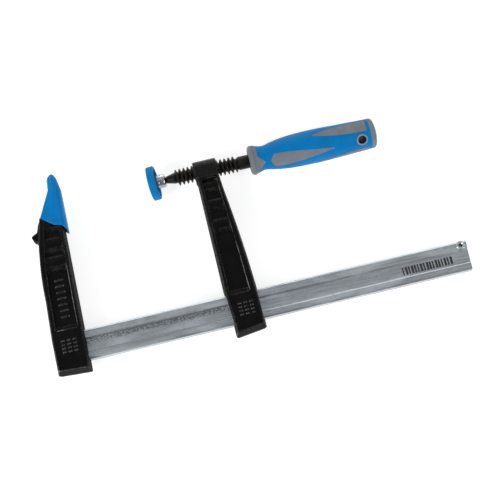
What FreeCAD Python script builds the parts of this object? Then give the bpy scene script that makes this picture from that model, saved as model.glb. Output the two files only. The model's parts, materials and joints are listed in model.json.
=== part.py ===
import FreeCAD, Part
import math
import os

# F clamp that opens to about 297 mm and reaches 128 mm from the bar to the screw. Millimetres.
# Layout frame while modelling: X runs along the bar, away from the fixed jaw; Y runs from the bar
# towards the screw; Z is the thickness direction. x = 0 is the fixed jaw's inner face, y = 0 the
# middle of the bar's height, z = 0 the middle of its thickness. export_all() then moves everything
# so that the origin is the centre of the bottom of the whole clamp.

Vec = FreeCAD.Vector
ORIGIN = Vec(0, 0, 0)
ALONG_X = Vec(1, 0, 0)
ALONG_Y = Vec(0, 1, 0)
ALONG_Z = Vec(0, 0, 1)
BIG = 400.0

# bar, a rolled I-section
BAR_HEIGHT = 28.5
BAR_THICKNESS = 8.0
BAR_LENGTH = 358.6
BAR_IN_JAW = 29.0
BAR_GROOVE_DEPTH = 0.9
BAR_GROOVE_TOP = 6.3
BAR_GROOVE_BOTTOM = -8.3
BAR_GROOVE_SLOPE = 1.3
BAR_EDGE_Y = 1.6
BAR_EDGE_Z = 1.0
BAR_END_SLANT_DEG = 3.0
BAR_TRIM = 10.0

# tubular rivet that stops the arm at the bar's end
STOP_X = 353.9
STOP_Y = 9.9
STOP_RADIUS = 3.0
STOP_HEAD_RADIUS = 4.1
STOP_HEAD_HEIGHT = 2.3
STOP_BORE = 1.5
STOP_EDGE_RADIUS = 0.6

# castings
CAST_HALF_DEPTH = 9.75
CAST_DRAFT = 1.8
CAST_EDGE_RADIUS = 1.2
WEB_HALF_DEPTH = 4.6
RIB_CREST = 8.3
POCKET_DRAFT = 0.8
MARK_HEIGHT = 0.4
MARK_ROOT = 0.5
FACE_MARK = (3.4, 1.3)
FACE_MARK_PITCH = (5.4, 3.6)

# fixed jaw
JAW_WIDTH = 30.4
JAW_BOTTOM = -22.7
JAW_TOE = -24.8
CAP_WALL = 1.8
CAP_FACE_X = 2.4
JAW_MARK = (8.5, 1.5)
JAW_MARK_PITCH = 6.0

# sliding arm
ARM_X = 130.9
ARM_WIDTH_TOP = 22.2
ARM_BOTTOM = -26.0
ARM_HEEL = -22.2
SLOT_CLEARANCE = 0.25
BOSS_X = 130.2
BOSS_WIDTH = 22.7
BOSS_RADIUS = 10.7
BOSS_FOOT_Y = 133.0
BOSS_EDGE_RADIUS = 0.9

# screw
SCREW_Y = 142.5
PITCH = 4.0
CREST_RADIUS = 8.0
ROOT_RADIUS = 5.2
CREST_HALF_WIDTH = 0.45
ROOT_HALF_WIDTH = 1.5
THREAD_START = 111.8
THREAD_TURNS = 15
THREAD_CLEARANCE = 0.15
RIDGE_IN_ROOT = 0.3
SINK = 0.01
CONE_START = 103.4
CONE_RADIUS = 3.45
SHANK_RADIUS = 6.5
NECK_RADIUS = 2.8
BALL_RADIUS = 5.25
BALL_X = 97.0
TANG_RADIUS = 5.0
TANG_END = 236.0
TANG_FLAT = 3.9
TANG_START = 187.2

# swivel pad, measured along its own axis from the centre of the ball
PAD_TILT_DEG = 6.4
PAD_RADIUS = 16.5
PAD_FACE = -10.2
PAD_BACK = -3.0
PAD_WALL = 2.5
PLATE_FRONT = -7.7
PLATE_BACK = -5.7
PLATE_RADIUS = 13.9
SOCKET_RADIUS = 6.8
SOCKET_END = 5.2
SOCKET_MOUTH = 4.1
SOCKET_EDGE_RADIUS = 1.7
SOCKET_FOOT = 0.9
RING_SEAT_X = 2.75
PLATE_CHAMFER = 0.4
CRIMP_RADIUS = 1.55
CRIMP_DEPTH = 0.6
CRIMP_CLOCK_DEG = 35.4
PAD_EDGE_RADIUS = 1.0
PAD_LIP = 0.5
BALL_FIT = 0.05
RING_WIRE = 0.45
RING_POLAR_DEG = 47.0
RING_FIT = 0.04
RING_GAP = 1.8

# handle, a moulded core with softer grip pieces set into it
GRIP_X = 184.2
GRIP_RING_END = 192.0
GRIP_RING_RADIUS = 14.25
CAP_JOIN_X = 302.6
HANDLE_END_X = 309.4
GRIP_CLOCK_DEG = 45.4
INLAY_DEPTH = 1.6
INLAY_PROUD = 0.2
HOLE_X = 293.2
HOLE_CLOCK_DEG = 41.4
HOLE_RADIUS = 3.9
BUSH_RADIUS = 5.4
COLLAR_BEAD = 3.4
COLLAR_BEAD_PAST_TOP_DEG = 40.0
COLLAR_HEEL_RADIUS = 13.1
CORE_NOSE_RADIUS = 9.2
SPIGOT_RADIUS = 9.0
SPIGOT_LENGTH = 3.6
END_DOME_RADIUS = 40.0
END_EDGE_RADIUS = 3.4


def polygon(points, z=0.0):
    corners = [Vec(x, y, z) for x, y in points]
    return Part.makePolygon(corners + corners[:1])


def prism(points, z_low, z_high):
    return Part.Face(polygon(points, z_low)).extrude(Vec(0, 0, z_high - z_low))


def box(x_low, x_high, y_low, y_high, z_low, z_high):
    size = Vec(x_high - x_low, y_high - y_low, z_high - z_low)
    return Part.makeBox(size.x, size.y, size.z, Vec(x_low, y_low, z_low))


def rod(x_low, x_high, radius):
    return Part.makeCylinder(radius, x_high - x_low, Vec(x_low, 0, 0), ALONG_X)


def turned(points):
    """A solid of revolution about the X axis from (x, radius) corners."""
    return Part.Face(polygon(points)).revolve(ORIGIN, ALONG_X, 360)


def both_faces(shape):
    return [shape, shape.mirror(ORIGIN, ALONG_Z)]


def on_screw_axis(shape):
    moved = shape.copy()
    moved.translate(Vec(0, SCREW_Y, 0))
    return moved


def line(start, end):
    return Part.makeLine(Vec(*start, 0), Vec(*end, 0))


def arc(start, middle, end):
    return Part.Arc(Vec(*start, 0), Vec(*middle, 0), Vec(*end, 0)).toShape()


def one_solid(shape):
    """The only solid of a boolean's result."""
    solids = shape.Solids
    if len(solids) != 1:
        raise ValueError("expected one solid, found %d" % len(solids))
    return solids[0]


def drafted_blank(outline):
    """A casting blank: widest at the parting plane z = 0, narrower by the draft at both faces."""
    inner = outline.makeOffset2D(-CAST_DRAFT, join=2)
    inner.translate(Vec(0, 0, CAST_HALF_DEPTH))
    half = Part.makeLoft([outline, inner], True, True)
    front_edges = [e for e in half.Edges if e.BoundBox.ZMin > CAST_HALF_DEPTH - 0.01]
    half = half.makeFillet(CAST_EDGE_RADIUS, front_edges)
    return half.fuse(both_faces(half)[1]).removeSplitter()


def rib_profile(top, crest_end, bottom):
    """Edges of one cross rib in the (y, z) plane: steep upper side, crowned crest, sloped lower side."""
    lip_top = (top - 0.9, RIB_CREST - 0.5)
    lip_end = (crest_end, RIB_CREST - 0.2)
    crown = ((lip_top[0] + lip_end[0]) / 2, RIB_CREST + 0.25)
    return [line((top, WEB_HALF_DEPTH), lip_top), arc(lip_top, crown, lip_end),
            line(lip_end, (bottom, WEB_HALF_DEPTH))]


def pocket_cutter(outline_points, ribs, y_top, y_ramp_top, y_ramp_foot):
    """What is cut from the front face: a pocket whose floor carries the cross ribs."""
    front = CAST_HALF_DEPTH + 2.0
    edges = [line((y_top, front), (y_top, WEB_HALF_DEPTH))]
    reach = y_top
    for rib in ribs:
        edges.append(line((reach, WEB_HALF_DEPTH), (rib[0], WEB_HALF_DEPTH)))
        edges += rib_profile(*rib)
        reach = rib[2]
    ramp_run = (y_ramp_top - y_ramp_foot) / (CAST_HALF_DEPTH - WEB_HALF_DEPTH)
    foot = y_ramp_foot - ramp_run * (front - CAST_HALF_DEPTH)
    edges += [line((reach, WEB_HALF_DEPTH), (y_ramp_top, WEB_HALF_DEPTH)),
              line((y_ramp_top, WEB_HALF_DEPTH), (foot, front)), line((foot, front), (y_top, front))]
    section = Part.Face(Part.Wire(edges))
    section.rotate(ORIGIN, Vec(1, 1, 1), 120)
    floor = section.extrude(Vec(BIG, 0, 0))
    floor.translate(Vec(-BIG / 4, 0, 0))
    outer = polygon(outline_points, CAST_HALF_DEPTH + 0.001)
    depth = CAST_HALF_DEPTH - WEB_HALF_DEPTH
    inner = outer.makeOffset2D(-POCKET_DRAFT, join=2)
    inner.translate(Vec(0, 0, -depth - 0.001))
    walls = Part.makeLoft([outer, inner], True, True)
    return walls.common(floor)


def raised_marks(x, y, grid, size, pitch, z_face):
    """Plain raised casting marks with round ends, in a grid of columns and rows centred on (x, y)."""
    columns, rows = grid
    length, width = size
    pitch_x, pitch_y = pitch
    z_low = z_face - MARK_ROOT
    z_high = z_face + MARK_HEIGHT
    marks = []
    for column in range(columns):
        for row in range(rows):
            cx = x + (column - (columns - 1) / 2) * pitch_x
            cy = y + (row - (rows - 1) / 2) * pitch_y
            half = (length - width) / 2
            bar = box(cx - half, cx + half, cy - width / 2, cy + width / 2, z_low, z_high)
            for side in (-half, half):
                end = Part.makeCylinder(width / 2, z_high - z_low, Vec(cx + side, cy, z_low))
                bar = bar.fuse(end)
            marks.append(bar)
    return marks


def bar_section(x):
    """The I-section as a wire in the plane at x."""
    h = BAR_HEIGHT / 2
    t = BAR_THICKNESS / 2
    floor = t - BAR_GROOVE_DEPTH
    right = [(-h, t - BAR_EDGE_Z), (-h + BAR_EDGE_Y, t), (BAR_GROOVE_BOTTOM, t),
             (BAR_GROOVE_BOTTOM + BAR_GROOVE_SLOPE, floor), (BAR_GROOVE_TOP - BAR_GROOVE_SLOPE, floor),
             (BAR_GROOVE_TOP, t), (h - BAR_EDGE_Y, t), (h, t - BAR_EDGE_Z)]
    corners = [Vec(x, y, z) for y, z in right] + [Vec(x, y, -z) for y, z in reversed(right)]
    return Part.makePolygon(corners + corners[:1])


def bar_solid():
    start = -BAR_IN_JAW
    blank = Part.Face(bar_section(start)).extrude(Vec(BAR_LENGTH + BAR_IN_JAW + BAR_TRIM, 0, 0))
    lean = BAR_HEIGHT * math.tan(math.radians(BAR_END_SLANT_DEG))
    h = BAR_HEIGHT
    past_end = BAR_LENGTH + 4 * BAR_TRIM
    waste = prism([(BAR_LENGTH - lean / 2, -h), (past_end, -h), (past_end, h),
                   (BAR_LENGTH + 1.5 * lean, h)], -BAR_THICKNESS, BAR_THICKNESS)
    return blank.cut(waste)


def bar_rail():
    hole = Part.makeCylinder(STOP_RADIUS, BAR_THICKNESS + 2, Vec(STOP_X, STOP_Y, -BAR_THICKNESS / 2 - 1))
    return bar_solid().cut(hole)


def end_stop_pin():
    """A hollow shank through the bar with a peened head on each face."""
    face = BAR_THICKNESS / 2
    shank = Part.makeCylinder(STOP_RADIUS, BAR_THICKNESS, Vec(STOP_X, STOP_Y, -face))
    head = Part.makeCylinder(STOP_HEAD_RADIUS, STOP_HEAD_HEIGHT, Vec(STOP_X, STOP_Y, face))
    rim = [e for e in head.Edges if e.Closed and e.BoundBox.ZMin > face + STOP_HEAD_HEIGHT - 0.01]
    head = head.makeFillet(STOP_EDGE_RADIUS, rim)
    bore = Part.makeCylinder(STOP_BORE, 2 * BAR_HEIGHT, Vec(STOP_X, STOP_Y, -BAR_HEIGHT))
    lip = Part.makeCone(STOP_BORE, STOP_BORE + 0.9, 0.9, Vec(STOP_X, STOP_Y, face + STOP_HEAD_HEIGHT - 0.9))
    return one_solid(shank.fuse(both_faces(head)).cut([bore] + both_faces(lip)))


# the line where the jaw's cap ends and the bare casting starts
CAP_EDGE = [(-60, 160.0), (-24.5, 132.4), (-8.7, 119.6), (-1.5, 117.8), (0.8, 114.8), (4.0, 112.6),
            (60, 112.6)]


def below_cap_edge():
    return prism(CAP_EDGE + [(60, -80), (-60, -80)], -40, 40)


def above_cap_edge():
    return prism(CAP_EDGE + [(60, 260), (-60, 260)], -40, 40)


# cross-sections of the cap, front half, each as its y and its (x, z) corners from the flat inner
# face round to the back; the back half mirrors them
CAP_SECTIONS = [
    (104.0, [(CAP_FACE_X + 0.05, 5.6), (0.8, 9.4), (-2.0, 11.0), (-14.0, 11.3), (-31.0, 9.4), (-34.3, 4.0)]),
    (158.0, [(CAP_FACE_X + 0.05, 4.6), (0.9, 7.3), (-0.9, 8.6), (-4.2, 9.0), (-8.2, 7.6), (-9.6, 3.4)]),
    (169.4, [(0.4, 3.6), (-0.5, 5.9), (-1.6, 7.2), (-4.2, 7.7), (-7.6, 6.4), (-8.9, 2.6)]),
    (173.6, [(-1.6, 1.8), (-2.1, 3.5), (-2.7, 4.4), (-4.0, 4.8), (-5.4, 3.8), (-6.2, 1.4)]),
]


def ring_of_corners(y, corners, inset):
    """One closed section at height y, moved in by the inset on every side."""
    xs = [x for x, z in corners]
    middle = (max(xs) + min(xs)) / 2
    half_width = (max(xs) - min(xs)) / 2
    half_depth = max(z for x, z in corners)
    sx = (half_width - inset) / half_width
    sz = (half_depth - inset) / half_depth
    front = [(middle + (x - middle) * sx, z * sz) for x, z in corners]
    back = [(x, -z) for x, z in reversed(front)]
    points = [Vec(x, y, z) for x, z in front + back]
    return Part.makePolygon(points + points[:1])


def tip_solid(inset, drop):
    """The jaw's tapering tip; inset 0 gives the cap's outside."""
    rings = []
    for number, (y, corners) in enumerate(CAP_SECTIONS):
        height = y if number == 0 else y - drop
        rings.append(ring_of_corners(height, corners, inset))
    return Part.makeLoft(rings, True, True)


def fixed_jaw():
    right = 0.0
    left = -JAW_WIDTH
    outline = Part.Wire([
        line((right, JAW_TOE), (right, 128)), line((right, 128), (-22.4, 134)),
        line((-22.4, 134), (-26.6, 112)), arc((-26.6, 112), (left, 80), (left - 0.5, 50)),
        line((left - 0.5, 50), (left - 1.5, 12)), line((left - 1.5, 12), (left - 1.1, JAW_BOTTOM)),
        line((left - 1.1, JAW_BOTTOM), (right, JAW_TOE))])
    body = drafted_blank(outline).common(below_cap_edge())
    lug = prism([(-20, 127.5), (-23.4, 127.5), (-31.3, 118.2), (-32.6, 114.2), (-31.2, 109.4),
                 (-25.2, 103.2), (-20, 103.2)], -4.5, 4.5)
    corners = [e for e in lug.Edges if e.BoundBox.XMax < -31 and e.BoundBox.ZLength > 5]
    lug = lug.makeFillet(1.0, corners)
    body = body.fuse([lug, tip_solid(CAP_WALL, CAP_WALL).common(above_cap_edge())])
    walls = [(-5.2, 10), (-4.6, 127), (-17.5, 127), (-23.4, 84), (-24.9, 54), (-25.6, 10)]
    ribs = [(126.0, 118.5, 115.2), (108.6, 98.2, 94.0), (90.0, 79.8, 75.4)]
    cutter = pocket_cutter(walls, ribs, 128.0, 21.0, 16.4)
    body = body.cut(both_faces(cutter))
    marks = raised_marks(-15.0, 48.0, (1, 7), JAW_MARK, (0, JAW_MARK_PITCH), WEB_HALF_DEPTH)
    marks += raised_marks(-15.5, 0.5, (3, 4), FACE_MARK, FACE_MARK_PITCH, CAST_HALF_DEPTH)
    body = body.fuse(marks).cut(bar_solid())
    return one_solid(body.removeSplitter())


def fixed_jaw_cap():
    """The plastic cap, planed flat on its clamping side."""
    shell = tip_solid(0, 0).common(above_cap_edge())
    shell = shell.common(box(-BIG, CAP_FACE_X, -BIG, BIG, -BIG, BIG))
    return one_solid(shell.cut(tip_solid(CAP_WALL, CAP_WALL)))


def arm_body():
    top = 136.0
    right = ARM_X + ARM_WIDTH_TOP
    outline = Part.Wire([
        line((133.3, ARM_BOTTOM), (162.4, ARM_HEEL)), line((162.4, ARM_HEEL), (162.2, 10)),
        arc((162.2, 10), (159.7, 60), (right + 1.2, 120)), line((right + 1.2, 120), (right, top)),
        line((right, top), (ARM_X, top)), line((ARM_X, top), (ARM_X, 20)),
        line((ARM_X, 20), (133.0, -8)), line((133.0, -8), (133.3, ARM_BOTTOM))])
    return drafted_blank(outline)


def arm_boss():
    round_top = Part.makeCylinder(BOSS_RADIUS, BOSS_WIDTH, Vec(BOSS_X, SCREW_Y, 0), ALONG_X)
    foot = box(BOSS_X, BOSS_X + BOSS_WIDTH, BOSS_FOOT_Y, SCREW_Y, -BOSS_RADIUS, BOSS_RADIUS)
    boss = round_top.fuse(foot).removeSplitter()
    ends = [e for e in boss.Edges if e.BoundBox.XLength < 0.01]
    return boss.makeFillet(BOSS_EDGE_RADIUS, ends)


def thread_ridge(start, turns, crest_radius, crest_half, root_half):
    """A right-hand helical ridge about X, made along Z and turned over."""
    inner = ROOT_RADIUS - RIDGE_IN_ROOT
    helix = Part.makeHelix(PITCH, PITCH * turns, ROOT_RADIUS)
    flank = (root_half - crest_half) / (crest_radius - ROOT_RADIUS)
    base = root_half + flank * RIDGE_IN_ROOT
    corners = [Vec(inner, 0, -base), Vec(crest_radius, 0, -crest_half), Vec(crest_radius, 0, crest_half),
               Vec(inner, 0, base)]
    profile = Part.makePolygon(corners + corners[:1])
    ridge = Part.Wire(helix).makePipeShell([profile], True, True)
    ridge.rotate(ORIGIN, ALONG_Y, 90)
    ridge.translate(Vec(start, 0, 0))
    return ridge


def threaded_length():
    """The screw's thread on its root cylinder, with the run-outs at both ends."""
    end = THREAD_START + PITCH * THREAD_TURNS
    crest = CREST_RADIUS + 0.02
    ridge = thread_ridge(THREAD_START, THREAD_TURNS, CREST_RADIUS, CREST_HALF_WIDTH, ROOT_HALF_WIDTH)
    outside = turned([(THREAD_START - 1.6, 0), (THREAD_START - 1.6, ROOT_RADIUS + 0.05),
                      (THREAD_START + 1.6, crest), (end - 0.6, crest), (end + 1.8, SHANK_RADIUS - 0.6),
                      (end + 1.8, 0)])
    return rod(THREAD_START - 3, end + 3, ROOT_RADIUS).fuse(ridge).common(outside)


def nut_thread():
    """What the screw's thread needs inside the boss, with its running clearance."""
    first_turn = math.floor((BOSS_X - THREAD_START) / PITCH) - 1
    turns = math.ceil(BOSS_WIDTH / PITCH) + 3
    gap = THREAD_CLEARANCE
    ridge = thread_ridge(THREAD_START + first_turn * PITCH, turns, CREST_RADIUS + gap,
                         CREST_HALF_WIDTH + gap, ROOT_HALF_WIDTH + gap)
    wide = 2 * CREST_RADIUS
    length = box(BOSS_X - 1, BOSS_X + BOSS_WIDTH + 1, -wide, wide, -wide, wide)
    bore = rod(BOSS_X - 1, BOSS_X + BOSS_WIDTH + 1, ROOT_RADIUS + gap)
    return on_screw_axis(ridge.common(length).fuse(bore))


def sliding_arm():
    body = arm_body().fuse(arm_boss())
    walls = [(155.0, 6), (153.4, 50), (151.2, 90), (149.0, 131), (135.6, 131), (136.4, 6)]
    ribs = [(128.6, 120.6, 118.4), (110.0, 101.8, 97.8), (89.6, 79.9, 75.2)]
    cutter = pocket_cutter(walls, ribs, 132.0, 17.6, 12.4)
    body = body.cut(both_faces(cutter))
    h = BAR_HEIGHT / 2 + SLOT_CLEARANCE
    t = BAR_THICKNESS / 2 + SLOT_CLEARANCE
    slot = box(ARM_X - 5, ARM_X + 40, -h, h, -t, t)
    marks = raised_marks(148.0, -3.0, (3, 4), FACE_MARK, FACE_MARK_PITCH, CAST_HALF_DEPTH)
    body = body.fuse(marks).cut([slot, nut_thread()])
    return one_solid(body)


def spindle_tang():
    """The flattened end of the screw that the handle is moulded over."""
    tang = turned([(TANG_START, 0), (TANG_START, TANG_RADIUS), (TANG_END - 1, TANG_RADIUS),
                   (TANG_END, TANG_RADIUS - 1), (TANG_END, 0)])
    wide = 2 * TANG_RADIUS
    flat = box(GRIP_RING_END + 0.5, TANG_END + 1, -wide, wide, TANG_FLAT, wide)
    return tang.cut(both_faces(flat))


def ball_and_nose():
    """The ball, its neck and the cone up to the thread, turned in one piece."""
    root = ROOT_RADIUS - SINK
    ball_end = BALL_X + math.sqrt(BALL_RADIUS ** 2 - NECK_RADIUS ** 2)
    ball = arc((BALL_X - BALL_RADIUS, 0), (BALL_X, BALL_RADIUS), (ball_end, NECK_RADIUS))
    corners = [(ball_end, NECK_RADIUS), (CONE_START - 0.5, NECK_RADIUS), (CONE_START, CONE_RADIUS),
               (THREAD_START - 1, root), (THREAD_START, root), (THREAD_START, 0), (BALL_X - BALL_RADIUS, 0)]
    edges = [line(start, end) for start, end in zip(corners, corners[1:])]
    return Part.Face(Part.Wire([ball] + edges)).revolve(ORIGIN, ALONG_X, 360)


def spindle():
    end = THREAD_START + PITCH * THREAD_TURNS
    root = ROOT_RADIUS - SINK
    shank = turned([(end - 1, 0), (end - 1, root), (end + 0.2, root), (end + 1.5, SHANK_RADIUS - 0.5),
                    (end + 2, SHANK_RADIUS), (TANG_START, SHANK_RADIUS), (TANG_START, 0)])
    return one_solid(threaded_length().fuse([ball_and_nose(), shank, spindle_tang()]))


def ball_retaining_ring():
    reach = BALL_RADIUS + RING_WIRE + RING_FIT
    polar = math.radians(RING_POLAR_DEG)
    centre = Vec(BALL_X + reach * math.cos(polar), 0, 0)
    ring = Part.makeTorus(reach * math.sin(polar), RING_WIRE, centre, ALONG_X)
    gap = box(BALL_X, BALL_X + 2 * BALL_RADIUS, 0, 2 * BALL_RADIUS, -RING_GAP / 2, RING_GAP / 2)
    return one_solid(ring.cut(gap))


def tilt_pad(shape):
    """The pad leans about the centre of the ball."""
    tilted = shape.copy()
    tilted.rotate(ORIGIN, ALONG_Y, -PAD_TILT_DEG)
    tilted.translate(Vec(BALL_X, 0, 0))
    return tilted


def sphere_arc(radius, x_start, x_end):
    """A stretch of a circle about the ball's centre, in the (x, radius) plane."""
    x_middle = (x_start + x_end) / 2
    points = [(x, math.sqrt(radius ** 2 - x ** 2)) for x in (x_start, x_middle, x_end)]
    return arc(*points)


def socket_inside():
    """From the mouth round the retaining ring's seat and the ball's seat to the axis."""
    ball_seat = BALL_RADIUS + BALL_FIT
    ring_seat = BALL_RADIUS + 2 * RING_WIRE + 3 * RING_FIT
    mouth_x = math.sqrt(ring_seat ** 2 - SOCKET_MOUTH ** 2)
    ring_seat_edge = sphere_arc(ring_seat, mouth_x, RING_SEAT_X)
    ball_seat_edge = sphere_arc(ball_seat, RING_SEAT_X, -ball_seat)
    step = line((RING_SEAT_X, math.sqrt(ring_seat ** 2 - RING_SEAT_X ** 2)),
                (RING_SEAT_X, math.sqrt(ball_seat ** 2 - RING_SEAT_X ** 2)))
    return [line((SOCKET_END, SOCKET_MOUTH), (mouth_x, SOCKET_MOUTH)), ring_seat_edge, step, ball_seat_edge,
            line((-ball_seat, 0), (PLATE_FRONT, 0))]


def swivel_pad():
    """The round plate and the ball's socket, turned in one piece and crimped at four places."""
    corner = SOCKET_RADIUS - SOCKET_EDGE_RADIUS
    outside = [(PLATE_FRONT, 0), (PLATE_FRONT, PLATE_RADIUS - PLATE_CHAMFER),
               (PLATE_FRONT + PLATE_CHAMFER, PLATE_RADIUS), (PLATE_BACK - PLATE_CHAMFER, PLATE_RADIUS),
               (PLATE_BACK, PLATE_RADIUS - PLATE_CHAMFER), (PLATE_BACK, SOCKET_RADIUS + SOCKET_FOOT),
               (PLATE_BACK + SOCKET_FOOT, SOCKET_RADIUS), (SOCKET_END - SOCKET_EDGE_RADIUS, SOCKET_RADIUS)]
    edges = [line(start, end) for start, end in zip(outside, outside[1:])]
    bulge = SOCKET_EDGE_RADIUS * math.sqrt(0.5)
    round_middle = (SOCKET_END - SOCKET_EDGE_RADIUS + bulge, corner + bulge)
    edges += [arc(outside[-1], round_middle, (SOCKET_END, corner)),
              line((SOCKET_END, corner), (SOCKET_END, SOCKET_MOUTH))]
    pad = Part.Face(Part.Wire(edges + socket_inside())).revolve(ORIGIN, ALONG_X, 360)
    for number in range(4):
        angle = math.radians(CRIMP_CLOCK_DEG + 90 * number)
        reach = SOCKET_RADIUS + CRIMP_RADIUS - CRIMP_DEPTH
        centre = Vec(0, -reach * math.sin(angle), reach * math.cos(angle))
        pad = pad.cut(Part.makeSphere(CRIMP_RADIUS, centre))
    return one_solid(tilt_pad(pad))


def pad_cap():
    """The soft cover clipped over the plate."""
    outer = turned([(PAD_FACE, 0), (PAD_FACE, PAD_RADIUS), (PAD_BACK, PAD_RADIUS), (PAD_BACK, 0)])
    rims = [e for e in outer.Edges if e.Closed and e.BoundBox.XLength < 0.01]
    outer = outer.makeFillet(PAD_EDGE_RADIUS, rims)
    lip = PAD_RADIUS - PAD_WALL - PAD_LIP
    inside = turned([(PLATE_FRONT, 0), (PLATE_FRONT, PLATE_RADIUS), (PLATE_BACK, PLATE_RADIUS),
                     (PLATE_BACK + PAD_LIP, lip), (PAD_BACK - PAD_LIP, lip), (PAD_BACK + 0.1, lip + 0.6),
                     (PAD_BACK + 0.1, 0)])
    return one_solid(tilt_pad(outer.cut(inside)))


# outside of the handle: x along it and its radius
HANDLE_PROFILE = [(189.0, 14.0), (192.0, 13.05), (195.0, 12.0), (198.5, 11.6), (204.0, 12.5), (214.0, 14.4),
                  (226.0, 15.65), (240.0, 16.1), (256.0, 16.0), (272.0, 15.5), (288.0, 14.9), (302.6, 14.5)]


def handle_outside(grow, x_end):
    """The handle's outer form, grown or shrunk all round, cut square at x_end."""
    points = [Vec(x, radius + grow, 0) for x, radius in HANDLE_PROFILE]
    curve = Part.BSplineCurve()
    curve.interpolate(points)
    first = points[0]
    last = points[-1]
    ends = [Part.makeLine(last, Vec(last.x, 0, 0)), Part.makeLine(Vec(last.x, 0, 0), Vec(first.x, 0, 0)),
            Part.makeLine(Vec(first.x, 0, 0), first)]
    body = Part.Face(Part.Wire([curve.toShape()] + ends)).revolve(ORIGIN, ALONG_X, 360)
    if x_end < last.x:
        body = body.common(rod(first.x - 1, x_end, 30))
    return body


def clocked(shape, step):
    """Turn a grip piece from the top of the handle to its place round it."""
    turned_piece = shape.copy()
    turned_piece.rotate(ORIGIN, ALONG_X, GRIP_CLOCK_DEG + step)
    return turned_piece


def bush_clocked(shape):
    """Turn the hanging hole's parts from the top of the handle to the hole's direction."""
    return clocked(shape, HOLE_CLOCK_DEG - GRIP_CLOCK_DEG)


def inlay_layer(outline_wire):
    """The part of the grip skin inside an outline, at the top of the handle."""
    window = Part.Face(outline_wire).extrude(Vec(0, 0, 30))
    skin = handle_outside(INLAY_PROUD, CAP_JOIN_X).cut(handle_outside(-INLAY_DEPTH, CAP_JOIN_X + 1))
    return skin.common(window)


def front_inlay():
    """A teardrop: cut off bluntly towards the jaw, pointed towards the handle's end."""
    outline = Part.Wire([
        line((207.8, 6.4), (204.6, 1.4)), arc((204.6, 1.4), (204.3, 0), (204.6, -1.4)),
        line((204.6, -1.4), (207.8, -6.4)), arc((207.8, -6.4), (222.0, -6.1), (238.0, -4.3)),
        line((238.0, -4.3), (266.0, -0.5)), line((266.0, -0.5), (266.0, 0.5)),
        line((266.0, 0.5), (238.0, 4.3)), arc((238.0, 4.3), (222.0, 6.1), (207.8, 6.4))])
    return inlay_layer(outline)


def rear_inlay():
    """A teardrop the other way round, cut square near the handle's end."""
    outline = Part.Wire([
        line((247.2, 0.5), (247.2, -0.5)), arc((247.2, -0.5), (271.0, -4.9), (299.3, -6.0)),
        line((299.3, -6.0), (299.3, 6.0)), arc((299.3, 6.0), (271.0, 4.9), (247.2, 0.5))])
    return inlay_layer(outline)


def grip_tongue():
    outline = polygon([(189.2, -7.2), (191.8, -7.2), (199.0, -0.3), (199.0, 0.3), (191.8, 7.2), (189.2, 7.2)])
    return inlay_layer(outline)


def grip_collar():
    """The soft ring at the front of the handle: a rolled bead with a heel behind it and three tongues over
    the core."""
    centre_x = GRIP_X + COLLAR_BEAD
    centre_radius = GRIP_RING_RADIUS - COLLAR_BEAD
    past_top = math.radians(COLLAR_BEAD_PAST_TOP_DEG)
    bead_start = (GRIP_X, centre_radius)
    bead_top = (centre_x, GRIP_RING_RADIUS)
    bead_end = (centre_x + COLLAR_BEAD * math.sin(past_top), centre_radius + COLLAR_BEAD * math.cos(past_top))
    heel = (GRIP_RING_END, COLLAR_HEEL_RADIUS)
    foot = (GRIP_RING_END, 0)
    edges = [arc(bead_start, bead_top, bead_end), line(bead_end, heel), line(heel, foot),
             line(foot, (GRIP_X, 0)), line((GRIP_X, 0), bead_start)]
    ring = Part.Face(Part.Wire(edges)).revolve(ORIGIN, ALONG_X, 360)
    ring = ring.cut([rod(GRIP_X - 1, TANG_START + 1, SHANK_RADIUS), core_nose()])
    tongues = [clocked(grip_tongue(), 120 * number) for number in range(3)]
    return one_solid(ring.fuse(tongues))


def core_nose():
    return rod(TANG_START, GRIP_RING_END, CORE_NOSE_RADIUS)


def cap_spigot():
    return rod(CAP_JOIN_X - SPIGOT_LENGTH, CAP_JOIN_X + 1, SPIGOT_RADIUS)


def bush_solid():
    tube = Part.makeCylinder(BUSH_RADIUS, 2 * BIG, Vec(HOLE_X, 0, -BIG))
    return tube.common(handle_outside(INLAY_PROUD, CAP_JOIN_X))


def hole_solid():
    return Part.makeCylinder(HOLE_RADIUS, 2 * BIG, Vec(HOLE_X, 0, -BIG))


def hanging_hole_bush():
    return one_solid(bush_clocked(bush_solid().cut(hole_solid())))


def handle_core():
    behind_ring = handle_outside(0, CAP_JOIN_X).cut(rod(GRIP_X, GRIP_RING_END, 2 * GRIP_RING_RADIUS))
    core = behind_ring.fuse(core_nose())
    fitted = [bush_clocked(bush_solid()), cap_spigot(), spindle_tang()]
    for number in range(3):
        fitted += [clocked(grip_tongue(), 120 * number), clocked(front_inlay(), 120 * number),
                   clocked(rear_inlay(), 120 * number + 60)]
    return one_solid(core.cut(fitted))


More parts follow.
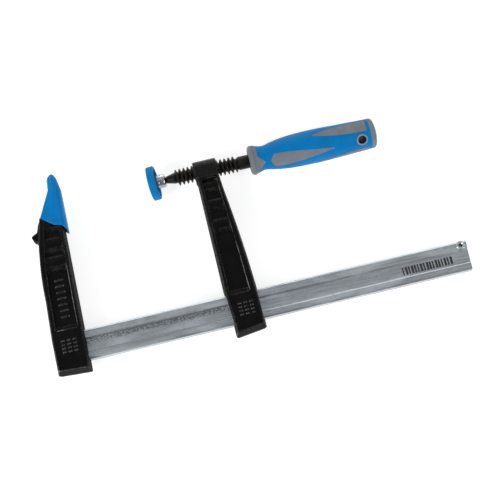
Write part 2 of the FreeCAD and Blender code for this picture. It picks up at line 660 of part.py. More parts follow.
def grip_end_cap():
    """The plug that closes the handle, with a shallow domed face and a round edge."""
    side = HANDLE_PROFILE[-1][1]
    dome_x = HANDLE_END_X - END_DOME_RADIUS
    edge_radius = side - END_EDGE_RADIUS
    edge_x = dome_x + math.sqrt((END_DOME_RADIUS - END_EDGE_RADIUS) ** 2 - edge_radius ** 2)
    slope = math.atan2(edge_radius, edge_x - dome_x)

    def on_edge(angle):
        return (edge_x + END_EDGE_RADIUS * math.cos(angle), edge_radius + END_EDGE_RADIUS * math.sin(angle))

    def on_dome(angle):
        return (dome_x + END_DOME_RADIUS * math.cos(angle), END_DOME_RADIUS * math.sin(angle))

    round_edge = arc((edge_x, side), on_edge((math.pi / 2 + slope) / 2), on_edge(slope))
    dome = arc(on_edge(slope), on_dome(slope / 2), (HANDLE_END_X, 0))
    edges = [line((CAP_JOIN_X, 0), (CAP_JOIN_X, side)), line((CAP_JOIN_X, side), (edge_x, side)), round_edge,
             dome, line((HANDLE_END_X, 0), (CAP_JOIN_X, 0))]
    outside = Part.Face(Part.Wire(edges)).revolve(ORIGIN, ALONG_X, 360)
    return one_solid(outside.fuse(cap_spigot()))


def build_nodes():
    nodes = {
        "bar_rail": bar_rail(),
        "end_stop_pin": end_stop_pin(),
        "fixed_jaw": fixed_jaw(),
        "fixed_jaw_cap": fixed_jaw_cap(),
        "sliding_arm": sliding_arm(),
    }
    on_axis = {
        "ball_retaining_ring": ball_retaining_ring(),
        "spindle": spindle(),
        "swivel_pad": swivel_pad(),
        "pad_cap": pad_cap(),
        "handle_core": handle_core(),
        "grip_collar": grip_collar(),
        "hanging_hole_bush": hanging_hole_bush(),
        "grip_end_cap": grip_end_cap(),
    }
    bush = bush_clocked(bush_solid())
    for number in range(3):
        on_axis["grip_front_inlay_%d" % (number + 1)] = one_solid(clocked(front_inlay(), 120 * number))
        rear = clocked(rear_inlay(), 120 * number + 60)
        on_axis["grip_rear_inlay_%d" % (number + 1)] = one_solid(rear.cut(bush))
    for name, shape in on_axis.items():
        nodes[name] = on_screw_axis(shape)
    return nodes


def export_all():
    os.makedirs("parts", exist_ok=True)
    nodes = build_nodes()
    extent = FreeCAD.BoundBox()
    for shape in nodes.values():
        extent.add(shape.optimalBoundingBox())
    shift = Vec(-extent.Center.x, -extent.Center.y, -extent.ZMin)
    for name, shape in nodes.items():
        shape.translate(shift)
        shape.exportStep("parts/%s.step" % name)


export_all()
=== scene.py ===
import json
import math

import bpy
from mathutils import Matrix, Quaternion, Vector


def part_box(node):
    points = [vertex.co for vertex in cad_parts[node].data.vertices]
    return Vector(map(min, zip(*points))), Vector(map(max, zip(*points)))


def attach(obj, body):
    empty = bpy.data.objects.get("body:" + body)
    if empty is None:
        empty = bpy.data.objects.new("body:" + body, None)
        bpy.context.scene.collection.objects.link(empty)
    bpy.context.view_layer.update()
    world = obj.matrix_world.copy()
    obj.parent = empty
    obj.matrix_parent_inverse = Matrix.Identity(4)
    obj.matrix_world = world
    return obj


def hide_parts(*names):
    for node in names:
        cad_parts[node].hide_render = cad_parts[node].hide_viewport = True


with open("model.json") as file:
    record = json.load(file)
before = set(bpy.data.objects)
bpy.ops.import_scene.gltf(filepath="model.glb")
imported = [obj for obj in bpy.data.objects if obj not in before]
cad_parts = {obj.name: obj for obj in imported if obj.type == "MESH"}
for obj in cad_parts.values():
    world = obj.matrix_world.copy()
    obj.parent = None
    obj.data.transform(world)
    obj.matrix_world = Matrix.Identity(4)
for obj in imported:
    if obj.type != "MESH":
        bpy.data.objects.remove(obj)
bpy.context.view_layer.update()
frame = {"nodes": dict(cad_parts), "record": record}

MM = 0.001

# where things are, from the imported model
bar_low, bar_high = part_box("bar_rail")
jaw_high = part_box("fixed_jaw")[1]
pin_low, pin_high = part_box("end_stop_pin")
collar_low, collar_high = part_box("grip_collar")
BAR_Y = (bar_low.y + bar_high.y) / 2
BAR_TOP_Z = bar_high.z
MIDDLE_Z = (bar_low.z + bar_high.z) / 2
SCREW_Y = (collar_low.y + collar_high.y) / 2
SCREW_Z = (collar_low.z + collar_high.z) / 2
PIN = (pin_low + pin_high) / 2
JAW_FACE_X = jaw_high.x
HOLE = next(mount for mount in frame["record"]["mounts"] if mount["name"] == "hanging_hole")
HOLE_RADIUS = HOLE["dims"]["r_mm"] * MM

# the bar's groove: its edges from the bar's middle, and its two sloping walls seen from above
GROOVE_TOP = 6.3 * MM
GROOVE_BOTTOM = -8.3 * MM
UPPER_WALL = 1.6 * MM
LOWER_WALL = 1.5 * MM

# mill scale under the groove's upper wall, dense near the jaw and thin further along
SCALE_BAND = 6.0 * MM
SCALE_DENSE_TO = 118 * MM
SCALE_THIN_FROM = 175 * MM

# how far from the jaw the painted shade on the upper wall, a dark line, and the painted shade dulling the
# lower wall start and end fading
UPPER_WALL_SHADE_FADE = (110 * MM, 260 * MM)
LOWER_WALL_SHADE_FADE = (80 * MM, 240 * MM)

# the printed mark: a row of bars, its start from the jaw, and its edges from the bar's middle
PRINT_START = 295 * MM
PRINT_PITCH = 2.83 * MM
PRINT_COUNT = 17
PRINT_LOW = -5.4 * MM
PRINT_HIGH = 2.2 * MM

# the narrowest printed bar and what the widest adds, as shares of the pitch
PRINT_NARROWEST = 0.48
PRINT_SPREAD = 0.38
GOLDEN = 0.618

# the patch of nicks on the top flange: its ends from the jaw, and its edges from the bar's middle
NICKS_START = 322 * MM
NICKS_END = 344 * MM
NICKS_LOW = 8.2 * MM
NICKS_HIGH = 12.2 * MM
NICK_PITCH = 2.2 * MM

# the castings, in Y from the bar's middle
FOOT_MARKS_END = 20 * MM
WEB_START = 22 * MM
WEB_MARKS_END = 78 * MM
JAW_RIBS_START = 76 * MM
ARM_RIBS_START = 82 * MM

# how far below the screw's axis the boss starts, and the tops of the raised marks from the middle plane
BOSS_REACH = 11 * MM
WEB_MARK_TOP = 5.0 * MM
FACE_MARK_TOP = jaw_high.z - MIDDLE_Z

# the lug on the jaw's back: from its tip, where drawing it in starts and over what depth it grows,
# half the lug's width, and the share of that width taken off above and below the tip
LUG_ROOT = 9.0 * MM
LUG_RISE = 4.1 * MM
LUG_HALF = 10.5 * MM
LUG_PINCH_ABOVE = 0.62
LUG_PINCH_BELOW = 0.25

# radii of the screw's thread and of the stop rivet's bore
CREST_RADIUS = 8.0 * MM
ROOT_RADIUS = 5.2 * MM
RIVET_BORE = 1.5 * MM

# remeshing of the cast and moulded pieces: voxel sizes, smoothing passes, and where the ribs' extra fades in
CASTING_VOXEL = 0.40 * MM
CAP_VOXEL = 0.32 * MM
CASTING_PASSES = 4
CAP_PASSES = 3
RIB_PASSES = 14
ROUND_FADE = 6 * MM


class Paint:
    """A procedural material: a Principled shader and the few node calls the finishes are made of."""

    def __init__(self, name, **constants):
        self.material = bpy.data.materials.new(name)
        self.material.use_nodes = True
        self.nodes = self.material.node_tree.nodes
        self.links = self.material.node_tree.links
        self.shader = self.nodes["Principled BSDF"]
        self.coords = self.nodes.new("ShaderNodeTexCoord")
        self.normal = None
        for socket, value in constants.items():
            self.shader.inputs[socket.replace("_", " ")].default_value = value

    def set(self, socket, source):
        self.links.new(source, self.shader.inputs[socket])

    def feed(self, node, socket, value):
        if isinstance(value, bpy.types.NodeSocket):
            self.links.new(value, node.inputs[socket])
        else:
            node.inputs[socket].default_value = value

    def math(self, operation, *values):
        node = self.nodes.new("ShaderNodeMath")
        node.operation = operation
        for number, value in enumerate(values):
            self.feed(node, number, value)
        return node.outputs[0]

    def place(self, scale=(1, 1, 1), offset=(0, 0, 0), turn=(0, 0, 0)):
        node = self.nodes.new("ShaderNodeMapping")
        self.links.new(self.coords.outputs["Object"], node.inputs["Vector"])
        node.inputs["Scale"].default_value = scale
        node.inputs["Location"].default_value = offset
        node.inputs["Rotation"].default_value = turn
        return node.outputs[0]

    def axis(self, name):
        """One object coordinate, in metres."""
        node = self.nodes.new("ShaderNodeSeparateXYZ")
        self.links.new(self.coords.outputs["Object"], node.inputs[0])
        return node.outputs[name]

    def facing(self, name):
        """One part of the surface's normal in the object's own axes."""
        node = self.nodes.new("ShaderNodeSeparateXYZ")
        self.links.new(self.coords.outputs["Normal"], node.inputs[0])
        return node.outputs[name]

    def noise(self, scale, detail, rough, stretch=(1, 1, 1), offset=(0, 0, 0), turn=(0, 0, 0), warp=0.0):
        node = self.nodes.new("ShaderNodeTexNoise")
        self.links.new(self.place(stretch, offset, turn), node.inputs["Vector"])
        node.inputs["Scale"].default_value = scale
        node.inputs["Detail"].default_value = detail
        node.inputs["Roughness"].default_value = rough
        node.inputs["Distortion"].default_value = warp
        return node.outputs["Fac"]

    def cells(self, scale):
        node = self.nodes.new("ShaderNodeTexVoronoi")
        self.links.new(self.place(), node.inputs["Vector"])
        node.inputs["Scale"].default_value = scale
        return node.outputs["Distance"]

    def ramp(self, value, low, high, to_low=0.0, to_high=1.0):
        """Value from low to high becomes to_low to to_high, smoothly, and stays there beyond."""
        node = self.nodes.new("ShaderNodeMapRange")
        node.interpolation_type = "SMOOTHSTEP"
        self.links.new(value, node.inputs["Value"])
        ends = {"From Min": low, "From Max": high, "To Min": to_low, "To Max": to_high}
        for socket, number in ends.items():
            node.inputs[socket].default_value = number
        return node.outputs["Result"]

    def between(self, value, low, high, soft):
        """1 inside the span from low to high, 0 outside it."""
        rise = self.ramp(value, low - soft, low + soft)
        fall = self.ramp(value, high - soft, high + soft, 1.0, 0.0)
        return self.math("MULTIPLY", rise, fall)

    def both(self, *masks):
        """The product of all the masks."""
        out = masks[0]
        for mask in masks[1:]:
            out = self.math("MULTIPLY", out, mask)
        return out

    def either(self, *masks):
        """The strongest of the masks."""
        out = masks[0]
        for mask in masks[1:]:
            out = self.math("MAXIMUM", out, mask)
        return out

    def mix(self, factor, first, second):
        node = self.nodes.new("ShaderNodeMix")
        node.data_type = "RGBA"
        for socket, value in ((node.inputs[0], factor), (node.inputs[6], first), (node.inputs[7], second)):
            if isinstance(value, bpy.types.NodeSocket):
                self.links.new(value, socket)
            elif isinstance(value, tuple):
                socket.default_value = (*value, 1.0)
            else:
                socket.default_value = value
        return node.outputs[2]

    def number_mix(self, factor, first, second):
        node = self.nodes.new("ShaderNodeMix")
        node.data_type = "FLOAT"
        self.feed(node, 0, factor)
        self.feed(node, 2, first)
        self.feed(node, 3, second)
        return node.outputs[0]

    def bump(self, height, distance, strength=1.0):
        """Adds relief, height in 0..1 standing for this distance."""
        node = self.nodes.new("ShaderNodeBump")
        node.inputs["Distance"].default_value = distance
        node.inputs["Strength"].default_value = strength
        self.links.new(height, node.inputs["Height"])
        if self.normal is not None:
            self.links.new(self.normal, node.inputs["Normal"])
        self.normal = node.outputs["Normal"]
        self.links.new(self.normal, self.shader.inputs["Normal"])

    def edges(self, low, high):
        """1 on outside edges, from the mesh's own curvature."""
        node = self.nodes.new("ShaderNodeNewGeometry")
        return self.ramp(node.outputs["Pointiness"], low, high)


# ---------------------------------------------------------------- materials

def zinc_bar():
    """Drawn bar with a bright zinc finish: streaks, dull patches, mill scale and a plain printed mark, with
    painted shade on the groove's walls near the jaw and on the end faces.
    """
    p = Paint("zinc_bar")
    across = p.math("SUBTRACT", p.axis("Y"), BAR_Y)
    depth = p.math("SUBTRACT", BAR_TOP_Z, p.axis("Z"))
    along = p.math("SUBTRACT", p.axis("X"), JAW_FACE_X)
    streaks = p.noise(1.0, 5, 0.6, stretch=(22, 900, 900), warp=0.4)
    fine = p.noise(1.0, 4, 0.65, stretch=(130, 3600, 3600))
    patches = p.noise(34, 5, 0.6, stretch=(0.5, 2.0, 2.0), warp=0.8)
    spangle = p.noise(520, 5, 0.7, stretch=(0.6, 1.2, 1.2), warp=0.8)
    colour = p.mix(p.ramp(streaks, 0.34, 0.66), (0.33, 0.365, 0.40), (0.56, 0.60, 0.64))
    colour = p.mix(p.ramp(patches, 0.42, 0.64, 0.0, 0.7), colour, (0.60, 0.645, 0.69))
    colour = p.mix(p.ramp(spangle, 0.50, 0.70, 0.0, 0.45), colour, (0.22, 0.24, 0.265))
    colour = p.mix(p.ramp(fine, 0.52, 0.74, 0.0, 0.5), colour, (0.72, 0.765, 0.81))
    in_recess = p.both(p.between(across, GROOVE_BOTTOM, GROOVE_TOP, 0.3 * MM),
                       p.ramp(depth, 0.3 * MM, 0.7 * MM))
    near_jaw = p.ramp(along, SCALE_DENSE_TO, SCALE_THIN_FROM, 1.0, 0.15)
    # painted shade: a dark line along the groove's upper wall, strongest near the jaw and fading further
    # along
    upper_wall_shade = p.between(across, GROOVE_TOP - UPPER_WALL, GROOVE_TOP - 0.1 * MM, 0.35 * MM)
    upper_wall_shade = p.math("MULTIPLY", upper_wall_shade, p.ramp(along, *UPPER_WALL_SHADE_FADE, 0.55, 0.1))
    scale_band = p.between(across, GROOVE_TOP - SCALE_BAND, GROOVE_TOP - 0.2 * MM, 2.0 * MM)
    drift = p.noise(26, 3, 0.5, stretch=(1.0, 0.3, 0.3), offset=(4, 2, 7))
    speckle = p.noise(760, 4, 0.8, stretch=(0.8, 1.1, 1.0))
    grains = p.math("ADD", p.math("MULTIPLY", drift, 0.6), p.math("MULTIPLY", speckle, 1.4))
    scale = p.both(scale_band, p.ramp(grains, 0.97, 1.06), near_jaw)
    colour = p.mix(upper_wall_shade, colour, (0.13, 0.14, 0.15))
    colour = p.mix(p.math("MULTIPLY", scale, 0.85), colour, (0.07, 0.075, 0.08))
    colour = p.mix(p.math("MULTIPLY", in_recess, 0.12), colour, (0.36, 0.41, 0.46))
    # painted shade: the bar's end faces darkened (their roughness is raised as well)
    end = p.ramp(p.math("ABSOLUTE", p.facing("X")), 0.6, 0.9)
    colour = p.mix(end, colour, (0.16, 0.165, 0.17))
    ink = printed_bars(p, along, across)
    worn = p.ramp(p.noise(900, 3, 0.6), 0.30, 0.40)
    ink = p.both(ink, worn, p.ramp(p.facing("Z"), 0.7, 0.9))
    # painted shade: the groove's lower wall darkened near the jaw, fading out further along
    lower_wall = p.between(across, GROOVE_BOTTOM - 0.1 * MM, GROOVE_BOTTOM + LOWER_WALL, 0.2 * MM)
    lower_wall_shade = p.both(lower_wall, p.ramp(along, *LOWER_WALL_SHADE_FADE, 0.95, 0.0))
    colour = p.mix(lower_wall_shade, colour, (0.19, 0.205, 0.22))
    p.set("Base Color", p.mix(ink, colour, (0.012, 0.012, 0.014)))
    rough = p.ramp(streaks, 0.35, 0.65, 0.44, 0.30)
    rough = p.number_mix(p.ramp(patches, 0.45, 0.65), rough, 0.48)
    rough = p.number_mix(p.either(scale, end), rough, 0.62)
    p.set("Roughness", p.number_mix(ink, rough, 0.5))
    p.set("Metallic", p.number_mix(ink, 1.0, 0.0))
    p.bump(streaks, 0.07 * MM)
    p.bump(fine, 0.02 * MM)
    p.bump(p.math("MULTIPLY", speckle, scale_band), 0.16 * MM)
    p.bump(stamped_nicks(p, along, across), 0.10 * MM)
    return p.material


def stamped_nicks(p, along, across):
    """A patch of fine slanting nicks on the top flange beside the stop rivet."""
    slant = p.math("ADD", along, p.math("MULTIPLY", across, 0.8))
    wave = p.math("SINE", p.math("MULTIPLY", slant, math.tau / NICK_PITCH))
    patch = p.both(p.between(along, NICKS_START, NICKS_END, 2 * MM),
                   p.between(across, NICKS_LOW, NICKS_HIGH, 0.8 * MM))
    return p.both(patch, p.ramp(wave, 0.2, 0.9, 1.0, 0.0))


def printed_bars(p, along, across):
    """A row of plain upright ink bars of uneven width near the end of the bar."""
    shifted = p.math("DIVIDE", p.math("SUBTRACT", along, PRINT_START), PRINT_PITCH)
    number = p.math("FLOOR", shifted)
    uneven = p.math("FRACT", p.math("MULTIPLY", number, GOLDEN))
    width = p.math("MULTIPLY_ADD", uneven, PRINT_SPREAD, PRINT_NARROWEST)
    bar = p.math("LESS_THAN", p.math("FRACT", shifted), width)
    row = p.between(along, PRINT_START, PRINT_START + PRINT_COUNT * PRINT_PITCH, 0.05 * MM)
    return p.both(bar, row, p.between(across, PRINT_LOW, PRINT_HIGH, 0.06 * MM))


def zinc_pin():
    """Plated hollow stop rivet, scuffed on its end, with painted shade, near black, in its bore."""
    p = Paint("zinc_pin", Metallic=1.0)
    dx = p.math("SUBTRACT", p.axis("X"), PIN.x)
    dy = p.math("SUBTRACT", p.axis("Y"), PIN.y)
    radius = p.math("SQRT", p.math("ADD", p.math("MULTIPLY", dx, dx), p.math("MULTIPLY", dy, dy)))
    # painted shade: the rivet's bore near black
    bore = p.ramp(radius, RIVET_BORE * 1.02, RIVET_BORE * 1.12, 1.0, 0.0)
    scuff = p.noise(900, 4, 0.6, warp=0.4)
    colour = p.mix(p.ramp(scuff, 0.4, 0.65), (0.74, 0.82, 0.80), (0.42, 0.48, 0.48))
    p.set("Base Color", p.mix(bore, colour, (0.02, 0.02, 0.02)))
    p.set("Roughness", p.ramp(scuff, 0.35, 0.7, 0.24, 0.5))
    p.bump(scuff, 0.05 * MM)
    return p.material


def black_casting():
    """Glossy black paint over a sand-cast skin, worn on its edges, rib lips and raised marks, with painted
    highlights on those edges, lips and marks and a painted sheen on the upper parts.
    """
    p = Paint("black_casting", Specular_IOR_Level=0.13)
    sand = p.noise(1300, 4, 0.65)
    lumps = p.noise(330, 4, 0.6, warp=0.4)
    broad = p.noise(60, 3, 0.5)
    colour = p.mix(p.ramp(broad, 0.35, 0.65), (0.0012, 0.0012, 0.0015), (0.0026, 0.0026, 0.0032))
    colour = p.mix(p.ramp(sand, 0.60, 0.74, 0.0, 0.5), colour, (0.012, 0.0115, 0.011))
    # painted sheen: the castings a little lighter above the lower edge of the screw's boss
    painted_top_sheen = p.ramp(p.axis("Y"), SCREW_Y - BOSS_REACH, SCREW_Y - BOSS_REACH + 3 * MM, 0.0, 0.7)
    colour = p.mix(painted_top_sheen, colour, (0.0105, 0.0100, 0.0105))
    flatness = p.math("ABSOLUTE", p.facing("Z"))
    above_bar = p.ramp(p.axis("Y"), BAR_Y + WEB_START, BAR_Y + WEB_START + 8 * MM)
    # painted highlight, tinted brown like worn paint, on the rib lips turned towards -Y above the bar
    lip_highlight_and_wear = p.both(p.ramp(p.facing("Y"), -0.75, -0.35, 1.0, 0.0), p.ramp(p.facing("X"), -0.5, -0.3),
                 p.ramp(p.facing("X"), 0.3, 0.5, 1.0, 0.0), p.ramp(flatness, 0.15, 0.35))
    lip_highlight_and_wear = p.both(lip_highlight_and_wear, above_bar, p.ramp(p.noise(210, 5, 0.75, offset=(1, 7, 2)), 0.34, 0.60))
    colour = p.mix(p.math("MULTIPLY", lip_highlight_and_wear, 0.40), colour, (0.050, 0.045, 0.038))
    # partly worn paint and partly painted glints: pale edges and raised marks, fewer on faces turned towards
    # +X
    where = p.both(p.ramp(p.noise(38, 2, 0.5, offset=(5, 3, 9)), 0.42, 0.60, 0.05, 0.8),
                   p.ramp(p.facing("X"), -0.1, 0.2, 1.0, 0.15))
    depth = p.math("ABSOLUTE", p.math("SUBTRACT", p.axis("Z"), MIDDLE_Z))
    web_mark = p.both(p.between(depth, WEB_MARK_TOP - 0.22 * MM, WEB_MARK_TOP + 0.1 * MM, 0.08 * MM),
                      p.ramp(p.axis("Y"), BAR_Y + WEB_MARKS_END, BAR_Y + WEB_MARKS_END + 2 * MM, 1.0, 0.0))
    foot_mark = p.both(p.ramp(depth, FACE_MARK_TOP - 0.28 * MM, FACE_MARK_TOP - 0.12 * MM),
                       p.ramp(p.axis("Y"), BAR_Y + FOOT_MARKS_END, BAR_Y + FOOT_MARKS_END + 2 * MM, 1.0, 0.0))
    marks = p.both(p.either(web_mark, p.math("MULTIPLY", foot_mark, 0.45)),
                   p.ramp(flatness, 0.80, 0.92))
    grit = p.ramp(p.noise(430, 5, 0.75), 0.40, 0.53)
    wear_and_glints = p.either(p.both(p.edges(0.512, 0.540), where, grit), p.both(marks, grit, p.edges(0.504, 0.545)))
    # partly dust and partly a painted highlight: convex edges a little lighter and browner
    dust_and_edge_sheen = p.both(p.edges(0.503, 0.525), p.ramp(p.noise(800, 3, 0.6, offset=(3, 1, 2)), 0.46, 0.60))
    colour = p.mix(p.math("MULTIPLY", dust_and_edge_sheen, 0.5), colour, (0.055, 0.050, 0.044))
    colour = p.mix(wear_and_glints, colour, (0.34, 0.32, 0.30))
    p.set("Base Color", colour)
    rough = p.ramp(lumps, 0.35, 0.65, 0.17, 0.32)
    wall = p.ramp(flatness, 0.30, 0.60, 1.0, 0.0)
    rough = p.number_mix(wall, rough, 0.66)
    p.set("Roughness", p.number_mix(wear_and_glints, rough, 0.45))
    p.bump(sand, 0.12 * MM)
    p.bump(lumps, 0.45 * MM)
    return p.material


def blue_plastic(name, edge_highlight):
    """Satin moulded plastic with a fine spark-eroded skin and faint scuffs, paler on edges by edge_highlight,
    a painted highlight.
    """
    p = Paint(name, Specular_IOR_Level=0.10)
    skin = p.noise(2600, 3, 0.6)
    flow = p.noise(45, 4, 0.5, warp=0.5)
    scuffs = p.noise(1.0, 4, 0.6, stretch=(120, 900, 900), turn=(0.3, 0.2, 0.6))
    colour = p.mix(p.ramp(flow, 0.35, 0.65), (0.000, 0.156, 0.425), (0.000, 0.178, 0.475))
    colour = p.mix(p.ramp(scuffs, 0.62, 0.76, 0.0, 0.35), colour, (0.005, 0.200, 0.52))
    # painted highlight: convex edges paler blue
    if edge_highlight:
        colour = p.mix(p.math("MULTIPLY", p.edges(0.506, 0.54), edge_highlight), colour, (0.010, 0.30, 0.74))
    p.set("Base Color", colour)
    p.set("Roughness", p.ramp(skin, 0.3, 0.7, 0.40, 0.54))
    p.bump(skin, 0.02 * MM)
    p.bump(flow, 0.10 * MM, 0.6)
    return p.material


def grey_grip():
    """Soft rubber grip with a stippled skin, a little polished where hands rub it."""
    p = Paint("grey_grip", Specular_IOR_Level=0.35)
    stipple = p.cells(1700)
    rub = p.noise(90, 4, 0.6)
    dust = p.noise(1400, 3, 0.6)
    colour = p.mix(p.ramp(rub, 0.35, 0.65), (0.150, 0.163, 0.178), (0.176, 0.190, 0.206))
    colour = p.mix(p.ramp(dust, 0.55, 0.72, 0.0, 0.35), colour, (0.24, 0.26, 0.285))
    p.set("Base Color", colour)
    p.set("Roughness", p.ramp(rub, 0.35, 0.65, 0.62, 0.50))
    p.bump(stipple, 0.05 * MM)
    p.bump(dust, 0.03 * MM)
    return p.material


def grip_bush():
    """The same rubber round the hanging hole, with painted shade, near black, inside the hole."""
    p = Paint("grip_bush", Specular_IOR_Level=0.35)
    axis = Vector(HOLE["axis"])
    sideways = Vector((0.0, axis.z, -axis.y))
    dx = p.math("SUBTRACT", p.axis("X"), HOLE["pos_m"][0])
    dy = p.math("MULTIPLY", p.math("SUBTRACT", p.axis("Y"), HOLE["pos_m"][1]), sideways.y)
    dz = p.math("MULTIPLY", p.math("SUBTRACT", p.axis("Z"), HOLE["pos_m"][2]), sideways.z)
    du = p.math("ADD", dy, dz)
    radius = p.math("SQRT", p.math("ADD", p.math("MULTIPLY", dx, dx), p.math("MULTIPLY", du, du)))
    # painted shade: the inside of the hanging hole near black
    bore = p.ramp(radius, HOLE_RADIUS + 0.03 * MM, HOLE_RADIUS + 0.25 * MM, 1.0, 0.0)
    dust = p.noise(1400, 3, 0.6)
    grey = p.mix(p.ramp(dust, 0.45, 0.70), (0.200, 0.220, 0.245), (0.300, 0.320, 0.345))
    p.set("Base Color", p.mix(bore, grey, (0.003, 0.003, 0.003)))
    p.set("Roughness", p.ramp(dust, 0.3, 0.7, 0.50, 0.64))
    p.bump(dust, 0.03 * MM)
    return p.material


def black_oxide_steel():
    """Blackened screw, worn brown on the thread's crests, slick with oil in the roots."""
    p = Paint("black_oxide_steel", Metallic=0.8, Specular_IOR_Level=0.3)
    dy = p.math("SUBTRACT", p.axis("Y"), SCREW_Y)
    dz = p.math("SUBTRACT", p.axis("Z"), SCREW_Z)
    radius = p.math("SQRT", p.math("ADD", p.math("MULTIPLY", dy, dy), p.math("MULTIPLY", dz, dz)))
    grain = p.noise(1100, 4, 0.65)
    cloud = p.noise(190, 4, 0.6)
    colour = p.mix(p.ramp(cloud, 0.35, 0.65), (0.012, 0.011, 0.011), (0.030, 0.028, 0.026))
    crest = p.ramp(radius, CREST_RADIUS - 0.9 * MM, CREST_RADIUS - 0.15 * MM)
    crest = p.both(crest, p.ramp(grain, 0.34, 0.56))
    colour = p.mix(p.math("MULTIPLY", crest, 0.6), colour, (0.090, 0.079, 0.068))
    p.set("Base Color", colour)
    rough = p.ramp(grain, 0.3, 0.7, 0.30, 0.50)
    root = p.ramp(radius, ROOT_RADIUS, ROOT_RADIUS + 1.0 * MM, 1.0, 0.0)
    p.set("Roughness", p.number_mix(p.math("MULTIPLY", root, 0.7), rough, 0.27))
    p.bump(grain, 0.06 * MM)
    return p.material


def bright_steel():
    """Bright plated pad, hazy, with darker handling marks."""
    p = Paint("bright_steel", Metallic=1.0)
    marks = p.noise(700, 4, 0.6, warp=0.5)
    haze = p.noise(160, 3, 0.5)
    colour = p.mix(p.ramp(haze, 0.35, 0.65), (0.36, 0.38, 0.41), (0.62, 0.64, 0.67))
    colour = p.mix(p.ramp(marks, 0.52, 0.68, 0.0, 0.7), colour, (0.14, 0.145, 0.155))
    p.set("Base Color", colour)
    p.set("Roughness", p.ramp(marks, 0.35, 0.7, 0.14, 0.36))
    p.bump(marks, 0.03 * MM)
    return p.material


def spring_steel():
    """Wire of the hidden retaining ring."""
    p = Paint("spring_steel", Metallic=1.0)
    grain = p.noise(1500, 3, 0.6)
    p.set("Base Color", p.mix(grain, (0.30, 0.30, 0.31), (0.46, 0.46, 0.47)))
    p.set("Roughness", p.ramp(grain, 0.3, 0.7, 0.25, 0.42))
    p.bump(grain, 0.01 * MM)
    return p.material


FINISHES = {
    "zinc_bar": zinc_bar(), "zinc_pin": zinc_pin(), "black_casting": black_casting(),
    "blue_plastic": blue_plastic("blue_plastic", 0.0), "cap_plastic": blue_plastic("cap_plastic", 0.6),
    "grey_grip": grey_grip(), "grip_bush": grip_bush(), "black_oxide_steel": black_oxide_steel(),
    "bright_steel": bright_steel(), "spring_steel": spring_steel(),
}
NODE_FINISH = {
    "bar_rail": "zinc_bar", "end_stop_pin": "zinc_pin", "fixed_jaw": "black_casting",
    "fixed_jaw_cap": "blue_plastic", "sliding_arm": "black_casting", "ball_retaining_ring": "spring_steel",
    "spindle": "black_oxide_steel", "swivel_pad": "bright_steel", "pad_cap": "blue_plastic",
    "handle_core": "blue_plastic", "grip_collar": "grey_grip", "hanging_hole_bush": "grip_bush",
    "grip_end_cap": "grey_grip",
}
for inlay_number in range(1, 4):
    NODE_FINISH["grip_front_inlay_%d" % inlay_number] = "grey_grip"
    NODE_FINISH["grip_rear_inlay_%d" % inlay_number] = "grey_grip"


# ---------------------------------------------------------------- pieces

def paint_cad_nodes():
    for name, node in frame["nodes"].items():
        for place in node.material_slots:
            place.material = FINISHES[NODE_FINISH[name]]


def apply_modifiers(piece):
    """Turns a piece's modifiers into its own mesh."""
    graph = bpy.context.evaluated_depsgraph_get()
    mesh = bpy.data.meshes.new_from_object(piece.evaluated_get(graph))
    piece.modifiers.clear()
    piece.data = mesh


def smooth_piece(piece, passes, group=""):
    """Adds smoothing, of the whole piece or of one vertex group."""
    smooth = piece.modifiers.new("smooth", "SMOOTH")
    smooth.factor = 0.5
    smooth.iterations = passes
    smooth.vertex_group = group


def round_upper_part(piece, start):
    """Makes the ribs and corners above this Y value rounder still, fading in."""
    upper = piece.vertex_groups.new(name="upper")
    for vertex in piece.data.vertices:
        weight = (vertex.co.y - start) / ROUND_FADE
        if weight > 0.0:
            upper.add([vertex.index], min(weight, 1.0), "REPLACE")
    smooth_piece(piece, RIB_PASSES, "upper")
    apply_modifiers(piece)
    piece.vertex_groups.clear()


def softened(name, node, body, finish, voxel, passes, round_above=None):
    """A copy of a moulded or cast node, remeshed finely so that its corners are round as in the mould."""
    piece = bpy.data.objects.new(name, frame["nodes"][node].data.copy())
    bpy.context.scene.collection.objects.link(piece)
    weld = piece.modifiers.new("weld", "WELD")
    weld.merge_threshold = 0.001 * MM
    remesh = piece.modifiers.new("remesh", "REMESH")
    remesh.mode = "VOXEL"
    remesh.voxel_size = voxel
    remesh.use_smooth_shade = True
    smooth_piece(piece, passes)
    apply_modifiers(piece)
    if round_above is not None:
        round_upper_part(piece, round_above)
    piece.data.materials.clear()
    piece.data.materials.append(FINISHES[finish])
    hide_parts(node)
    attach(piece, body)
    return piece


def narrow_lug(piece):
    """Draws the lug on the jaw's back in to a blunt point with hollow flanks."""
    tip = min((vertex.co for vertex in piece.data.vertices), key=lambda point: point.x).copy()
    for vertex in piece.data.vertices:
        away = vertex.co.y - tip.y
        reach = abs(away)
        out = min(max((tip.x + LUG_ROOT - vertex.co.x) / LUG_RISE, 0.0), 1.0)
        if out == 0.0 or reach >= 2 * LUG_HALF:
            continue
        pinch = LUG_PINCH_ABOVE if away > 0 else LUG_PINCH_BELOW
        keep = 1.0 - pinch * out * out * (3.0 - 2.0 * out)
        if reach < LUG_HALF:
            drawn = reach * keep
        else:
            drawn = LUG_HALF * keep + (reach - LUG_HALF) * (2.0 - keep)
        vertex.co.y = tip.y + math.copysign(drawn, away)


paint_cad_nodes()
jaw_casting = softened("fixed_jaw_casting", "fixed_jaw", "root", "black_casting",
                       CASTING_VOXEL, CASTING_PASSES, round_above=BAR_Y + JAW_RIBS_START)
narrow_lug(jaw_casting)
softened("sliding_arm_casting", "sliding_arm", "sliding_arm", "black_casting",
         CASTING_VOXEL, CASTING_PASSES, round_above=BAR_Y + ARM_RIBS_START)
softened("fixed_jaw_cap_moulding", "fixed_jaw_cap", "root", "cap_plastic", CAP_VOXEL, CAP_PASSES)


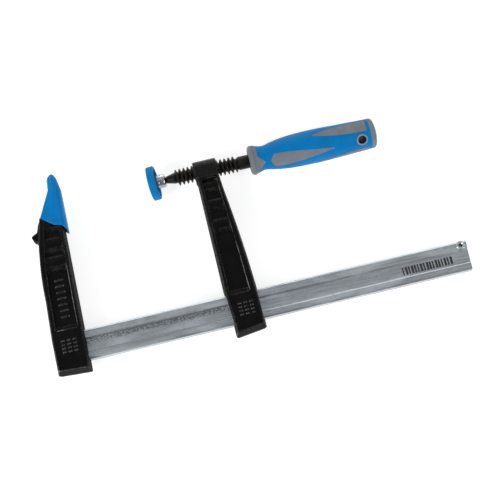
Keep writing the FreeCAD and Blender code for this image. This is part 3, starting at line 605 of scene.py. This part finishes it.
# ---------------------------------------------------------------- floor, lights and camera

FLOOR_REACH = 6.0
FLOOR_DROP = 0.05 * MM

# each softbox: name, place, size, watts; all aim at the object's middle
SOFTBOXES = (
    ("left", (-1.35, -0.75, 0.95), (0.6, 0.8), 24.0),
    ("right", (1.35, -0.75, 0.95), (0.6, 0.8), 13.0),
    ("back", (0.1, 1.7, 0.6), (2.4, 0.7), 9.0),
)

# the surround's strength in front and behind, and the Y of the view direction where each is reached
WORLD_DIM = 0.20
WORLD_BRIGHT = 0.62
DIM_BEFORE = -0.7
BRIGHT_FROM = 1.0

CAMERA_AZIMUTH = math.radians(-7.63)
CAMERA_ELEVATION = math.radians(70.08)
CAMERA_ROLL = math.radians(5.96)
CAMERA_DISTANCE = 1.120
CAMERA_LENS = 86.4
SENSOR_WIDTH = 36.0
AIM_FROM_BAR = Vector((193.3 * MM, 54.15 * MM, 0.0))


def floor():
    mesh = bpy.data.meshes.new("floor")
    corners = [(x * FLOOR_REACH, y * FLOOR_REACH, 0) for x, y in ((-1, -1), (1, -1), (1, 1), (-1, 1))]
    mesh.from_pydata(corners, [], [(0, 1, 2, 3)])
    plane = bpy.data.objects.new("floor", mesh)
    bpy.context.scene.collection.objects.link(plane)
    plane.location.z = -FLOOR_DROP
    p = Paint("floor_white", Roughness=0.9, Specular_IOR_Level=0.1, Base_Color=(0.55, 0.55, 0.55, 1.0),
              Emission_Color=(1.0, 1.0, 1.0, 1.0), Emission_Strength=0.7)
    mesh.materials.append(p.material)


def softbox(name, place, size, power):
    light = bpy.data.lights.new(name, "AREA")
    light.shape = "RECTANGLE"
    light.size, light.size_y = size
    light.energy = power
    lamp = bpy.data.objects.new(name, light)
    bpy.context.scene.collection.objects.link(lamp)
    lamp.location = place
    lamp.rotation_mode = "QUATERNION"
    lamp.rotation_quaternion = (-Vector(place)).to_track_quat("-Z", "Y")


def studio():
    """A white surround, dim in front of the object and bright behind it, with three soft boxes."""
    world = bpy.data.worlds.new("studio")
    world.use_nodes = True
    nodes = world.node_tree.nodes
    links = world.node_tree.links
    where = nodes.new("ShaderNodeTexCoord")
    split = nodes.new("ShaderNodeSeparateXYZ")
    level = nodes.new("ShaderNodeMapRange")
    level.interpolation_type = "SMOOTHSTEP"
    ends = {"From Min": DIM_BEFORE, "From Max": BRIGHT_FROM, "To Min": WORLD_DIM, "To Max": WORLD_BRIGHT}
    for socket, value in ends.items():
        level.inputs[socket].default_value = value
    links.new(where.outputs["Generated"], split.inputs[0])
    links.new(split.outputs["Y"], level.inputs["Value"])
    links.new(level.outputs["Result"], nodes["Background"].inputs["Strength"])
    nodes["Background"].inputs["Color"].default_value = (1.0, 1.0, 1.0, 1.0)
    bpy.context.scene.world = world
    for name, place, size, power in SOFTBOXES:
        softbox(name, place, size, power)


def camera():
    aim = Vector((bar_low.x, BAR_Y, MIDDLE_Z)) + AIM_FROM_BAR
    flat = math.cos(CAMERA_ELEVATION)
    back = Vector((math.sin(CAMERA_AZIMUTH) * flat, -math.cos(CAMERA_AZIMUTH) * flat,
                   math.sin(CAMERA_ELEVATION)))
    data = bpy.data.cameras.new("camera")
    data.lens = CAMERA_LENS
    data.sensor_width = SENSOR_WIDTH
    eye = bpy.data.objects.new("camera", data)
    bpy.context.scene.collection.objects.link(eye)
    eye.location = aim + back * CAMERA_DISTANCE
    eye.rotation_mode = "QUATERNION"
    roll = Quaternion((0, 0, 1), -CAMERA_ROLL)
    eye.rotation_quaternion = (-back).to_track_quat("-Z", "Y") @ roll
    bpy.context.scene.camera = eye


floor()
studio()
camera()
bpy.context.scene.view_settings.view_transform = "Standard"
